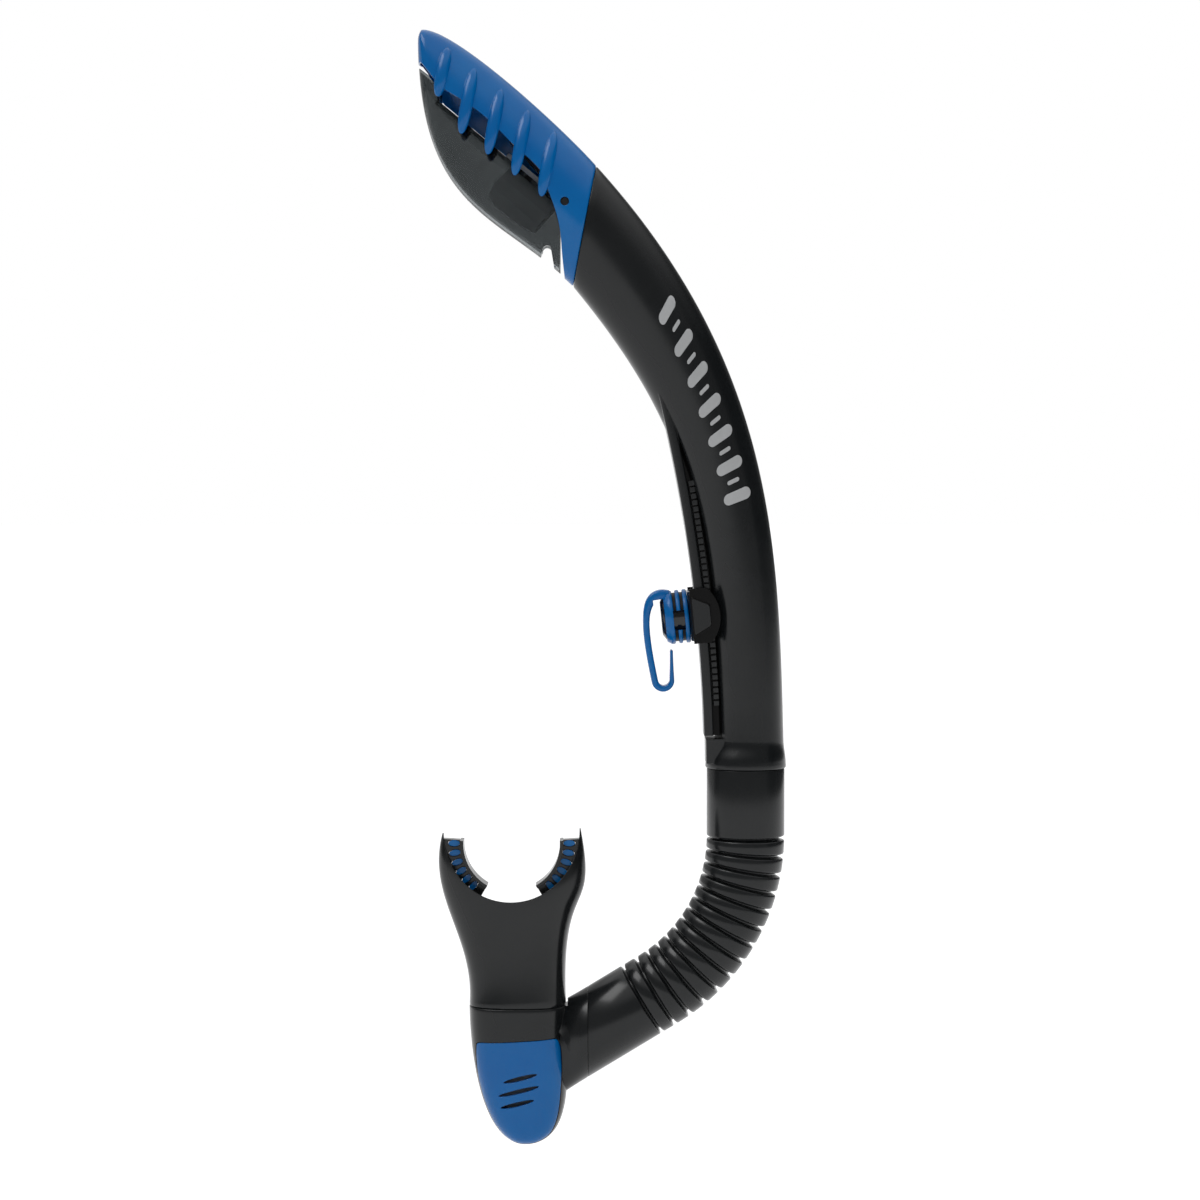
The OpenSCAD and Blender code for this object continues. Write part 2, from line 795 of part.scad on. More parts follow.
barrel_tube();
hose_coupling();
keeper_slider();
swivel_post();
strap_hook();
flex_hose();
valve_collar();
top_guard();
float_pin();
float_body();
float_lid();
float_core();
seal_flap();
flap_retainer();
junction_body();
mouthpiece();
bite_core_left();
bite_core_right();
purge_seat();
purge_valve();
purge_cover();
purge_housing();
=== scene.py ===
"""Looks of a dry-top snorkel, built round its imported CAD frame. Lengths here are in millimetres."""

import math

import bmesh
import bpy
import numpy as np
from mathutils import Matrix, Vector


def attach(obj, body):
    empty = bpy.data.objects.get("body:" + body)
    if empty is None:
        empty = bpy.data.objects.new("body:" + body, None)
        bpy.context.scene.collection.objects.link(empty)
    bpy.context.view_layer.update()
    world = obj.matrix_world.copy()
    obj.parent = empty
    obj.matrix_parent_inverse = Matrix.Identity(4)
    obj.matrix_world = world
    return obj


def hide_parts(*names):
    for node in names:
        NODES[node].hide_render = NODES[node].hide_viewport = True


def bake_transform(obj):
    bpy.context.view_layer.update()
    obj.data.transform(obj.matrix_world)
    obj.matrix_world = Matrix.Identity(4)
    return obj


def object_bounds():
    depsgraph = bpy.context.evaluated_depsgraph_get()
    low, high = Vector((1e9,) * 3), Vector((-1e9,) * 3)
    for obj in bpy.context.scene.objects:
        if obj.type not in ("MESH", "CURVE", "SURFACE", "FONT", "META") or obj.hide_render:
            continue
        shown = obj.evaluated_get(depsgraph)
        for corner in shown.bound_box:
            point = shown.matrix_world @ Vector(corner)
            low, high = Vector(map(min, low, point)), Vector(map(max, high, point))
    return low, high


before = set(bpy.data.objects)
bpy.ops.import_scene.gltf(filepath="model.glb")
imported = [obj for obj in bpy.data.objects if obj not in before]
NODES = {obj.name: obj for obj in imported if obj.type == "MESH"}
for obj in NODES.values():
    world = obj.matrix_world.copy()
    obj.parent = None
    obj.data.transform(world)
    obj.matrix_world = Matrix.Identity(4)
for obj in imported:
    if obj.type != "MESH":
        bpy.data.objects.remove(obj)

cad_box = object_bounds()
# a millimetre in metres, and how many sides a round section has
MM = 0.001
SIDES = 96

# ---------------------------------------------------------------- camera
# what it looks at, where it stands, and the width of the view at the object
VIEW_MIDDLE = Vector((-22.8, 0, 19.3))
VIEW_FROM = Vector((-22.8, -1230, 65))
VIEW_WIDTH = 463.2
SENSOR = 36


def add_camera():
    data = bpy.data.cameras.new("camera")
    data.sensor_width = SENSOR
    aim = VIEW_MIDDLE - VIEW_FROM
    data.lens = SENSOR * aim.length / VIEW_WIDTH
    data.clip_start, data.clip_end = 0.05, 200
    camera = bpy.data.objects.new("camera", data)
    camera.location = VIEW_FROM * MM
    camera.rotation_euler = aim.to_track_quat("-Z", "Y").to_euler()
    bpy.context.scene.collection.objects.link(camera)
    bpy.context.scene.camera = camera


add_camera()

# ---------------------------------------------------------------- sizes
# where the junction meets the mouthpiece: height, left edge and right edge
SEAM_Z, SEAM_L, SEAM_R = -137.3, -73.4, -35.9
# edges of the lofted bodies, as the side view's Bezier curves of (x, z)
OUTER = [(48.2, -38.6), (46.4, 39.1), (45.3, 109.8), (-24.1, 186)]
INNER = [(21.7, -38.6), (18.6, 46.2), (15.2, 81.3), (-33, 139.7)]
CROWN = [(-24.1, 186), (-37.4, 200.9), (-79.7, 239.6), (-91.1, 238)]
KEEL = [(-33, 139.7), (-61.1, 167.5), (-92.6, 167.2), (-92.6, 234.2)]
JUN_L = [(SEAM_L, SEAM_Z), (-73, -160), (-68, -191.1), (-52, -191.1)]
JUN_R = [(SEAM_R, SEAM_Z), (-36.5, -160), (-30, -191.1), (-52, -191.1)]
LIP_L = [(SEAM_L, SEAM_Z), (-71.1, -111.4), (-90.5, -95.9), (-83.8, -71)]
LIP_R = [(SEAM_R, SEAM_Z), (-38.2, -85.9), (-23.1, -105.2), (-30.3, -69.1)]
# half depths: junction, mouthpiece along its length, and dry top at its foot and tip
JUN_DEPTH, JUN_WALL = 14.8, 2.8
LIP_DEPTH = [JUN_DEPTH, 10.5, 20, 8.5]
TOP_DEPTH, TIP_DEPTH = 15, 4
BARREL_DEPTH, BARREL_WALL, RIM_R = 27, 2.2, 15.65
# rail, an arc, and the keeper on it
RAIL_C, RAIL_R = (-595.2, -48.6), 612.6
# angles at which the rail and its foot start and end, in degrees
RAIL_SPAN, FOOT_SPAN = (1.5, 14.4), (0.5, 1.37)
# teeth: spacing, count, middle radius, width, and the first one's angle in degrees
TOOTH_PITCH, TOOTH_COUNT, TOOTH_R, TOOTH_W, FIRST_TOOTH = 2.5, 35, 618, 1.8, 2.65
# the keeper's place as an angle on the rail, then the strap hook's hub radius, bore and band width
KEEP_A = math.radians(5.825)
HUB_R, POST_BORE, HOOK_W = 10.4, 7.88, 9
# float hinge: the pin's place, the float's tilt, the pin's radius and that of the room round it
PIN, TILT, PIN_R, BOSS_R = (-36.2, 171.4), math.radians(39.8), 1.6, 3.9
GUARD_WALL = 2.0
# hose: its outside, its grooves, its bore, and what its upper and lower cuffs fit over
HOSE_X, HOSE_TOP, HOSE_R, GROOVE_R, BORE_R = 33.5, -71.8, 15.05, 12.9, 10.4
UPPER_CUFF_R, LOWER_CUFF_R = 12.25, 12.3
# the barrel's socket for the hose coupling, and the junction's spigot inside the lower cuff
SOCKET_R, SPIGOT_R, SPIGOT_BORE = 11.9, 12.2, 10.2
# the hose's bend, its count of rings, the length between its cuffs, and the plane its lower cuff ends at
BEND_R, BEND_A, RINGS = 70, math.radians(58.8), 13
HOSE_LEN = BEND_R * BEND_A + 6.6
HOSE_END_X = -27.5
# purge valve and the room in its seat, the cover's back, the bite's middle and its oval studs
PURGE, SEAT_R, COVER_Y = (-54, -168.5), 9.7, -7
BITE, STUDS = (-56.9, -74.6), 6


# ---------------------------------------------------------------- curves and rings
def bezier(p, t):
    p = np.asarray(p, float)
    return (1 - t) ** 3 * p[0] + 3 * (1 - t) ** 2 * t * p[1] + 3 * (1 - t) * t * t * p[2] + t ** 3 * p[3]


def smooth(t):
    t = min(1, max(0, t))
    return t * t * (3 - 2 * t)


def steps(a, b, n):
    return [a + (b - a) * i / n for i in range(n + 1)]


def power(v, e):
    return np.sign(v) * np.abs(v) ** (2 / e)


def ring(a, b, depth, inset=0, keel_inset=None, depth_inset=None, e=2, sides=SIDES):
    """Oval through a and b of the side view, depth deep to each side; e over 2 squares it up."""
    a, b = np.asarray(a, float), np.asarray(b, float)
    along = (a - b) / np.linalg.norm(a - b)
    p = a - along * inset
    q = b + along * (inset if keel_inset is None else keel_inset)
    mid, half = (p + q) / 2, (p - q) / 2
    turn = np.arange(sides) * 2 * math.pi / sides
    x = power(np.cos(turn), e)
    y = power(np.sin(turn), e) * (depth - (inset if depth_inset is None else depth_inset))
    return np.stack([mid[0] + half[0] * x, y, mid[1] + half[1] * x], 1)


def catmull(points, n):
    """Smooth open curve through the points, n steps between each two."""
    pts = [np.asarray(p, float) for p in points]
    pts = [2 * pts[0] - pts[1]] + pts + [2 * pts[-1] - pts[-2]]
    out = []
    for a, b, c, d in zip(pts, pts[1:], pts[2:], pts[3:]):
        for t in steps(0, 1, n)[:-1]:
            out.append(0.5 * (2 * b + (c - a) * t + (2 * a - 5 * b + 4 * c - d) * t * t
                              + (3 * b - a - 3 * c + d) * t ** 3))
    return out + [pts[-2]]


# ---------------------------------------------------------------- meshes
def solid(name, verts, faces):
    """Closed mesh from points in millimetres, its normals pointing out."""
    mesh = bpy.data.meshes.new(name)
    mesh.from_pydata([tuple(float(c) * MM for c in v) for v in verts], [], faces)
    work = bmesh.new()
    work.from_mesh(mesh)
    bmesh.ops.recalc_face_normals(work, faces=work.faces)
    work.to_mesh(mesh)
    work.free()
    obj = bpy.data.objects.new(name, mesh)
    bpy.context.scene.collection.objects.link(obj)
    return obj


def skin(name, rings):
    """Solid through a stack of rings."""
    n, m = len(rings[0]), len(rings)
    faces = [[j * n + i, (j + 1) * n + i, (j + 1) * n + (i + 1) % n, j * n + (i + 1) % n]
             for j in range(m - 1) for i in range(n)]
    faces += [list(range(n)), list(range((m - 1) * n, m * n))]
    return solid(name, np.vstack(rings), faces)


def tube(name, rings):
    """Closed wall through rings that run down the outside and back up the inside."""
    n, m = len(rings[0]), len(rings)
    faces = [[j * n + i, (j + 1) % m * n + i, (j + 1) % m * n + (i + 1) % n, j * n + (i + 1) % n]
             for j in range(m) for i in range(n)]
    return solid(name, np.vstack(rings), faces)


def slab(name, outline, y0, y1):
    """Outline of the side view given a thickness across Y."""
    n = len(outline)
    verts = [(x, y, z) for y in (y0, y1) for x, z in outline]
    faces = [list(range(n)), list(range(n, 2 * n))]
    faces += [[i, (i + 1) % n, n + (i + 1) % n, n + i] for i in range(n)]
    return solid(name, verts, faces)


def block(name, low, high):
    x0, y0, z0 = low
    x1, y1, z1 = high
    return slab(name, [(x0, z0), (x1, z0), (x1, z1), (x0, z1)], y0, y1)


def round_ring(x, r, sides=SIDES):
    turn = np.arange(sides) * 2 * math.pi / sides
    return np.stack([np.full(sides, x), r * np.cos(turn), r * np.sin(turn)], 1)


def lathe(name, profile, place, sides=SIDES):
    """Round body about its own X axis: profile gives (x, radius) from end to end."""
    obj = skin(name, [round_ring(x, r, sides) for x, r in profile])
    put(obj, place)
    return obj


def rod(name, x0, x1, r, place, sides=SIDES):
    return lathe(name, [(x0, r), (x1, r)], place, sides)


def put(obj, place):
    """Moves a mesh by a matrix whose shift is in millimetres."""
    m = place.copy()
    m.translation = m.translation * MM
    obj.data.transform(m)


def shape(obj, op, *tools):
    """Boolean of obj with each tool, which is used up."""
    for tool in tools:
        step = obj.modifiers.new("step", "BOOLEAN")
        step.operation, step.solver, step.object = op, "MANIFOLD", tool
        apply_modifiers(obj)
        bpy.data.objects.remove(tool)
    return obj


def apply_modifiers(obj):
    graph = bpy.context.evaluated_depsgraph_get()
    mesh = bpy.data.meshes.new_from_object(obj.evaluated_get(graph))
    obj.modifiers.clear()
    old, obj.data = obj.data, mesh
    bpy.data.meshes.remove(old)


def cut(obj, *tools):
    return shape(obj, "DIFFERENCE", *tools)


def join(obj, *tools):
    return shape(obj, "UNION", *tools)


def meet(obj, *tools):
    return shape(obj, "INTERSECT", *tools)


def finish(obj, material, body, slot, *nodes, angle=32):
    """Shades the piece, gives it its material, and ties it to its body."""
    mesh = obj.data
    mesh.materials.clear()
    mesh.materials.append(material)
    mesh.shade_smooth()
    mesh.set_sharp_from_angle(angle=math.radians(angle))
    if body:
        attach(obj, body)
    if nodes:
        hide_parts(*nodes)
    return obj


def paint(obj, material, inside):
    """Gives a second material to the faces whose middle, in millimetres, passes the test."""
    obj.data.materials.append(material)
    for face in obj.data.polygons:
        if inside(*(face.center / MM)):
            face.material_index = len(obj.data.materials) - 1


def keeper_place():
    """x along the rail's radius, z along the rail."""
    x = RAIL_C[0] + RAIL_R * math.cos(KEEP_A)
    z = RAIL_C[1] + RAIL_R * math.sin(KEEP_A)
    return Matrix.Translation((x, 0, z)) @ Matrix.Rotation(-KEEP_A, 4, "Y")


def pin_place():
    """x along the float away from its pin, z away from the float."""
    return (Matrix.Translation((PIN[0], 0, PIN[1])) @ Matrix.Rotation(TILT, 4, "Y")
            @ Matrix.Rotation(math.pi, 4, "Z"))


def across(x, z):
    """x of the new frame runs along +Y, through a point of the side view."""
    return Matrix.Translation((x, 0, z)) @ Matrix.Rotation(math.pi / 2, 4, "Z")


def upright(x):
    """x of the new frame runs along +Z."""
    return Matrix.Translation((x, 0, 0)) @ Matrix.Rotation(-math.pi / 2, 4, "Y")


# ---------------------------------------------------------------- materials
def set_range(node, *numbers):
    """Sets a map range's two input ends and two output ends."""
    for key, number in zip(("From Min", "From Max", "To Min", "To Max"), numbers):
        node.inputs[key].default_value = number


class Nodes:
    """Short way to write a material's node tree."""

    def __init__(self, name):
        self.material = bpy.data.materials.new(name)
        self.material.use_nodes = True
        self.tree = self.material.node_tree
        self.shader = self.tree.nodes["Principled BSDF"]
        self.place = self.add("ShaderNodeTexCoord").outputs["Object"]

    def add(self, kind, **settings):
        node = self.tree.nodes.new(kind)
        for key, value in settings.items():
            if key in node.inputs:
                node.inputs[key].default_value = value
            else:
                setattr(node, key, value)
        return node

    def link(self, out, into):
        self.tree.links.new(out, into)

    def set(self, **values):
        for key, value in values.items():
            self.shader.inputs[key.replace("_", " ")].default_value = value

    def noise(self, scale, detail=3, roughness=0.5):
        node = self.add("ShaderNodeTexNoise", Scale=scale, Detail=detail, Roughness=roughness)
        self.link(self.place, node.inputs["Vector"])
        return node.outputs["Fac"]

    def spread(self, value, low, high, from_low=0.3, from_high=0.7):
        node = self.add("ShaderNodeMapRange")
        set_range(node, from_low, from_high, low, high)
        self.link(value, node.inputs["Value"])
        return node.outputs["Result"]

    def blend(self, value, a, b):
        node = self.add("ShaderNodeMix", data_type="RGBA")
        node.inputs[6].default_value = (*a, 1)
        node.inputs[7].default_value = (*b, 1)
        self.link(value, node.inputs[0])
        return node.outputs[2]

    def bump(self, value, height, edge=0):
        """Fine relief in metres, over edges rounded in shading by edge metres."""
        node = self.add("ShaderNodeBump", Distance=height, Strength=1)
        self.link(value, node.inputs["Height"])
        if edge:
            soft = self.add("ShaderNodeBevel", samples=6, Radius=edge)
            self.link(soft.outputs[0], node.inputs["Normal"])
        self.link(node.outputs[0], self.shader.inputs["Normal"])


def moulded(name, dark, light, rough, grain=600, relief=0.00001, edge=0.0004, **settings):
    """Moulded plastic or rubber: slight flow marks in its colour, and a fine skin."""
    n = Nodes(name)
    n.set(**settings)
    n.link(n.blend(n.spread(n.noise(38, 4), 0, 1), dark, light), n.shader.inputs["Base Color"])
    n.link(n.spread(n.noise(90, 5, roughness=0.65), rough[0], rough[1]), n.shader.inputs["Roughness"])
    n.bump(n.noise(grain, 2), relief, edge)
    return n.material


def smoke_material():
    """Clear smoke-grey plastic."""
    n = Nodes("smoke_clear")
    n.set(Transmission_Weight=1.0, IOR=1.2)
    n.link(n.blend(n.spread(n.noise(30, 3), 0, 1), (0.2, 0.215, 0.22), (0.25, 0.265, 0.27)),
           n.shader.inputs["Base Color"])
    n.link(n.spread(n.noise(120, 4), 0.03, 0.09), n.shader.inputs["Roughness"])
    n.bump(n.noise(160, 2), 0.000002, 0.0003)
    return n.material


BARREL = moulded("barrel_black", (0.008, 0.0095, 0.0105), (0.010, 0.0115, 0.0125), (0.2, 0.26), 900,
                 0.0000015, Specular_IOR_Level=0.36)
KEEPER = moulded("keeper_black", (0.006, 0.006, 0.007), (0.010, 0.010, 0.011), (0.12, 0.18), 700,
                 0.000001)
BLUE = moulded("gloss_blue", (0.0, 0.155, 0.51), (0.0, 0.185, 0.56), (0.16, 0.2), 500, 0.000001,
               Specular_IOR_Level=0.3)
HOSE = moulded("hose_rubber", (0.013, 0.0145, 0.0155), (0.017, 0.0185, 0.0195), (0.18, 0.24), 800,
               0.0000015, Specular_IOR_Level=0.32)
MOUTH = moulded("mouth_rubber", (0.009, 0.0105, 0.0115), (0.013, 0.0145, 0.0155), (0.16, 0.22), 1000,
                0.0000015, Specular_IOR_Level=0.36)
# painted shade: a near-black, dull material laid on grooves, slots and the keeper's sides where they lie in
# shadow
PAINTED_SHADE = moulded("painted_shade_black", (0.002, 0.002, 0.002), (0.004, 0.004, 0.004), (0.35, 0.45), 900,
                0.000004, Specular_IOR_Level=0.15)
CORE = moulded("core_grey", (0.55, 0.56, 0.57), (0.66, 0.67, 0.68), (0.4, 0.5), 300, 0.00002)
INNER_BLACK = moulded("inner_black", (0.010, 0.010, 0.011), (0.016, 0.016, 0.017), (0.25, 0.35), 600,
                      0.000005)
VALVE = moulded("valve_rubber", (0.30, 0.32, 0.33), (0.38, 0.40, 0.41), (0.35, 0.5), 700, 0.00001)
PRINT = moulded("print_silver", (0.52, 0.53, 0.535), (0.6, 0.61, 0.62), (0.35, 0.5), 900, 0.000004,
                edge=0)
SMOKE = smoke_material()


# ---------------------------------------------------------------- barrel
# lower rim: height, and how far the edge is drawn in
RIM_EDGE = [(-45.5, 0.7), (-45.35, 0.3), (-45, 0.06), (-44.6, 0)]
# flare from the rim to the barrel: its lower end, its height, and the barrel's inner and outer edges
FLARE_Z, FLARE_H, FLARE_IN, FLARE_OUT = -43.6, 9, 21.5, 48.15


def barrel_depth(t):
    return BARREL_DEPTH / 2 + (TOP_DEPTH - BARREL_DEPTH / 2) * smooth((t - 0.45) / 0.5)


def barrel_ring(t, inset):
    return ring(bezier(OUTER, t), bezier(INNER, t), barrel_depth(t), inset)


def foot_ring(z, r):
    return ring((HOSE_X + r, z), (HOSE_X - r, z), r)


def foot_mix(s):
    """Between the round rim and the oval barrel."""
    r, z, w = RIM_R - 0.1, FLARE_Z + FLARE_H * s, smooth(s)
    a = np.array((HOSE_X + r, z)) * (1 - w) + np.array((FLARE_OUT, z)) * w
    b = np.array((HOSE_X - r, z)) * (1 - w) + np.array((FLARE_IN, z)) * w
    return ring(a, b, r * (1 - w) + BARREL_DEPTH / 2 * w)


def rail_point(r, angle, y):
    return RAIL_C[0] + r * math.cos(angle), y, RAIL_C[1] + r * math.sin(angle)


# half sections as (radius from the rail's centre, half width)
RAIL = [(612.6, 8.4), (612.75, 8.8), (613.1, 9.1), (613.6, 9.2), (615.3, 9.2), (615.8, 9.1), (616.1, 8.8),
        (616.2, 8.4), (616.2, 6.8), (625, 6.8)]
RAIL_FOOT = [(613.2, 8.5), (613.4, 8.95), (613.9, 9.2), (625, 9.2)]


def rail(half, a0, a1, n):
    """Half section and its mirror image, swept about the rail's centre from a0 to a1 degrees."""
    section = half + [(r, -y) for r, y in reversed(half)]
    rings = [np.array([rail_point(r, math.radians(a), y) for r, y in section]) for a in steps(a0, a1, n)]
    return skin("rail", rings)


def tooth(i):
    """Pair of ratchet teeth, one on each side of the web."""
    middle = math.radians(FIRST_TOOTH) + i * TOOTH_PITCH / TOOTH_R
    half = TOOTH_W / 2 / TOOTH_R
    section = [(616.7, -8.2), (618.8, -8.2), (618.8, 8.2), (616.7, 8.2)]
    return skin("tooth", [np.array([rail_point(r, a, y) for r, y in section])
                          for a in (middle - half, middle + half)])


def make_barrel():
    rim = [foot_ring(z, RIM_R - inset) for z, inset in RIM_EDGE]
    flare = [foot_mix(s) for s in steps(0, 1, 10)]
    tube_rings = [barrel_ring(t, 0) for t in steps(0.07, 0.9975, 90)][1:]
    upper_edge = [barrel_ring(0.9992, 0.12), barrel_ring(1, 0.4)]
    body = skin("barrel_shell", rim + flare + tube_rings + upper_edge)
    join(body, rail(RAIL, *RAIL_SPAN, 120), rail(RAIL_FOOT, *FOOT_SPAN, 8))
    for i in range(TOOTH_COUNT):
        join(body, tooth(i))
    bore = [foot_ring(-50, 10), foot_ring(-38.5, 10)]
    bore += [barrel_ring(t, BARREL_WALL) for t in steps(0.12, 1.03, 50)]
    cut(body, skin("bore", bore), rod("mouth", -50, -36.9, SOCKET_R, upright(HOSE_X)))
    finish(body, BARREL, "barrel", "barrel_plastic", "barrel_tube")
    # painted shade in the rail's side grooves and in the slot above its foot
    paint(body, PAINTED_SHADE, in_groove)


def in_groove(x, y, z):
    """Where painted shade goes: the slot above the rail's foot, and its side grooves but not the teeth's
    faces.
    """
    r = math.hypot(x - RAIL_C[0], z - RAIL_C[1])
    angle = math.degrees(math.asin((z - RAIL_C[1]) / r))
    start, end = RAIL_SPAN
    slot = FOOT_SPAN[1] - 0.01 < angle < start + 0.01 and r < 625
    return slot or start - 0.05 < angle < end - 0.05 and 616.15 < r < 620.5 and 5 < abs(y) < 8.15


def barrel_surface(t, f, lift):
    """Point of the barrel's near side at share f from its inner to its outer edge."""
    a, b = bezier(OUTER, t), bezier(INNER, t)
    p = b + (a - b) * f
    return p[0], -(barrel_depth(t) + lift) * math.sqrt(max(0, 1 - (2 * f - 1) ** 2)), p[1]


def print_mark(t, f, length, width):
    """Round-ended bar across the barrel, printed a hair proud of it."""
    across_mm = np.linalg.norm(bezier(OUTER, t) - bezier(INNER, t))
    # the barrel's middle line is 0.85 as long as its outer edge
    along_mm = np.linalg.norm(bezier(OUTER, t + 0.01) - bezier(OUTER, t)) * 85
    half, r = length / 2, width / 2
    near_end = [-half + r - r * math.cos(a) for a in steps(0.08, math.pi / 2, 8)]
    far_end = [half - r + r * math.sin(a) for a in steps(0, math.pi / 2 - 0.08, 8)]
    sections = []
    for x in near_end + steps(r - half, half - r, 16)[1:-1] + far_end:
        over = max(0, abs(x) - half + r)
        w = math.sqrt(max(0, r * r - over * over))
        edge = [(w, -0.3), (w, 0.05), (w - 0.04, 0.08), (0, 0.08), (0.04 - w, 0.08), (-w, 0.05), (-w, -0.3)]
        sections.append(np.array([barrel_surface(t + y / along_mm, f + x / across_mm, lift)
                                  for y, lift in edge]))
    return skin("mark", sections)


def merge(first, others):
    """Puts all the meshes, as they are, into the first object."""
    work = bmesh.new()
    for obj in [first] + others:
        work.from_mesh(obj.data)
    work.to_mesh(first.data)
    work.free()
    for obj in others:
        bpy.data.objects.remove(obj)


# the row of bars: count, where it starts and its length along the barrel, and the bars' sizes
BARS, ROW_START, ROW_SPAN = 7, 0.805, 0.353
LONG_BAR, SHORT_BAR = (11, 4.2), (5, 1.5)


def make_print():
    """Row of plain bars in place of lettering: long bars with a short one between."""
    marks = []
    for i in range(BARS):
        s = i / (BARS - 1)
        t, f = ROW_START - ROW_SPAN * s, 0.655 - 0.04 * s - 0.03 * math.sin(math.pi * s)
        marks.append(print_mark(t, f, *LONG_BAR))
        if i < BARS - 1:
            marks.append(print_mark(t - ROW_SPAN / (2 * (BARS - 1)), f, *SHORT_BAR))
    row = marks[0]
    row.name = "barrel_print"
    merge(row, marks[1:])
    finish(row, PRINT, "barrel", "barrel_plastic")


# ---------------------------------------------------------------- dry top
# fins on each side of the guard: count, largest radius, and sides of their section
FIN_COUNT, FIN_R, FIN_SIDES = 5, 2.4, 32
# insets from the dry top's surface, at the crown, the keel and the sides
FLOAT_INSET, HOLLOW_INSET, LID_INSET = (3, 0.3, 3), (4.5, 1.8, 4.5), (4.58, 1.88, 4.58)


def top_depth(t):
    return TIP_DEPTH + (TOP_DEPTH - TIP_DEPTH) * math.sqrt(max(0, 1 - max(t, 0) ** 3.2))


def top_ring(t, inset, keel_inset=None, depth_inset=None):
    return ring(bezier(CROWN, t), bezier(KEEL, t), top_depth(t), inset, keel_inset, depth_inset)


def top_skin(t0, t1, n, *insets):
    return skin("top", [top_ring(t, *insets) for t in steps(t0, t1, n)])


def guard_outline(windows):
    """Side view of all that the guard covers: down to the windows, or with none."""
    edge = [(-36.3, 142.4), (-37.2, 151), (-38, 160.6), (-39.6, 167.5), (-42.5, 175.6)]
    if windows:
        edge += [(-46, 183.8), (-55.7, 192.9), (-65.2, 202.4), (-73.5, 208.7), (-81.8, 213.9), (-85.5, 217.6)]
    else:
        edge += [(-45, 179.1), (-64.3, 195.2), (-80, 208.3), (-83.6, 211.5), (-86.4, 217.2)]
    edge += [(-89.4, 222.6), (-91.1, 224.7)]
    return [(0, 120), (-30, 120)] + catmull(edge, 8) + [(-100, 225.6), (-100, 260), (0, 260)]


def surface_depth(x, z):
    """Half depth of the dry top at a point of the side view."""
    p = np.array((x, z))
    low, high = 0.0, 1.0

    def side(t):
        g, k = bezier(CROWN, t), bezier(KEEL, t)
        return (g[0] - k[0]) * (p[1] - k[1]) - (g[1] - k[1]) * (p[0] - k[0])

    start = side(0)
    for _ in range(20):
        mid = (low + high) / 2
        low, high = (mid, high) if side(mid) * start > 0 else (low, mid)
    g, k = bezier(CROWN, low), bezier(KEEL, low)
    share = np.linalg.norm(p - k) / np.linalg.norm(g - k)
    return top_depth(low) * math.sqrt(max(0, 1 - (2 * share - 1) ** 2))


def fin_radius(v):
    """Round head, then a long taper to a blunt tip; v runs from tip to head."""
    return FIN_R * math.sqrt(max(0, 1 - (((v - 0.6) / 0.4) ** 2.4 if v > 0.6 else ((0.6 - v) / 0.6) ** 4)))


def fin(i, s):
    """Spindle that lies along the guard's side s, its head up."""
    length = 19.4 if i == 0 else 25.8
    head, run = np.array((-80.9 + 10.15 * i, 230.3 - 7.95 * i)), np.array((-0.187, -0.982))
    side = np.array((-run[1], run[0]))
    turn = np.arange(FIN_SIDES) * 2 * math.pi / FIN_SIDES
    rings = []
    for k in range(1, 28):
        v = (1 - math.cos(k * math.pi / 28)) / 2
        c, r = head + run * length * v, max(fin_radius(1 - v), 0.05)
        y = s * (surface_depth(*c) - 0.3 + 0.8 * r * np.sin(turn))
        rings.append(np.stack([c[0] + side[0] * r * np.cos(turn), y, c[1] + side[1] * r * np.cos(turn)], 1))
    return skin("fin", rings)


def make_guard():
    zone = join(slab("zone", guard_outline(True), -40, 40), slab("back", guard_outline(False), 0.5, 41))
    lower_edge = [top_ring(0.002, 0.5), top_ring(0.006, 0.12)]
    shell = skin("top", lower_edge + [top_ring(t, 0) for t in steps(0.012, 1, 80)])
    body = meet(shell, zone)
    for i in range(FIN_COUNT):
        for s in (-1, 1):
            join(body, fin(i, s))
    inside = top_skin(-0.03, 0.965, 60, GUARD_WALL)
    cut(body, inside, rod("pin_hole", -20, 20, PIN_R + 0.06, across(*PIN)))
    body.name = "guard_shell"
    finish(body, BLUE, "barrel", "blue_plastic", "top_guard")


def float_outline():
    """Side view of the float below its top, in the pin's frame."""
    return [(3.4, -1.2), (61, -1.2), (63.5, 1.9), (70.6, 3.9), (90, 3.9),
            (90, -60), (-60, -60), (-26, -12), (0, -5)]


def notch_outline():
    arc = [(-43.1 + 1.7 * math.cos(a), 153.4 + 1.7 * math.sin(a)) for a in steps(-0.1, math.pi + 0.12, 16)]
    return [(-39.6, 142)] + arc + [(-46.1, 149.6), (-50, 138)]


def make_float():
    body = top_skin(0.045, 0.94, 70, *FLOAT_INSET)
    zone = slab("zone", float_outline(), -40, 40)
    put(zone, pin_place())
    meet(body, zone)
    cut(body, top_skin(0.03, 0.93, 60, *HOLLOW_INSET), slab("notch", notch_outline(), -40, 40),
        block("gap", (-38, -30, 130), (-18, 30, 190)), rod("boss", -30, 30, BOSS_R, across(*PIN)))
    body.name = "float_shell"
    finish(body, SMOKE, "float", "smoke_plastic", "float_body")
    lid = top_skin(0.08, 0.92, 50, *LID_INSET)
    plate = block("plate", (5.2, -30, -2.7), (62.2, 30, -1.2))
    put(plate, pin_place())
    meet(lid, plate)
    lid.name = "float_lid_plate"
    hole = Matrix.Translation((17, 0, -5)) @ Matrix.Rotation(-math.pi / 2, 4, "Y")
    cut(lid, rod("hole", 0, 8, 1.6, pin_place() @ hole))
    finish(lid, SMOKE, "float", "smoke_plastic", "float_lid")


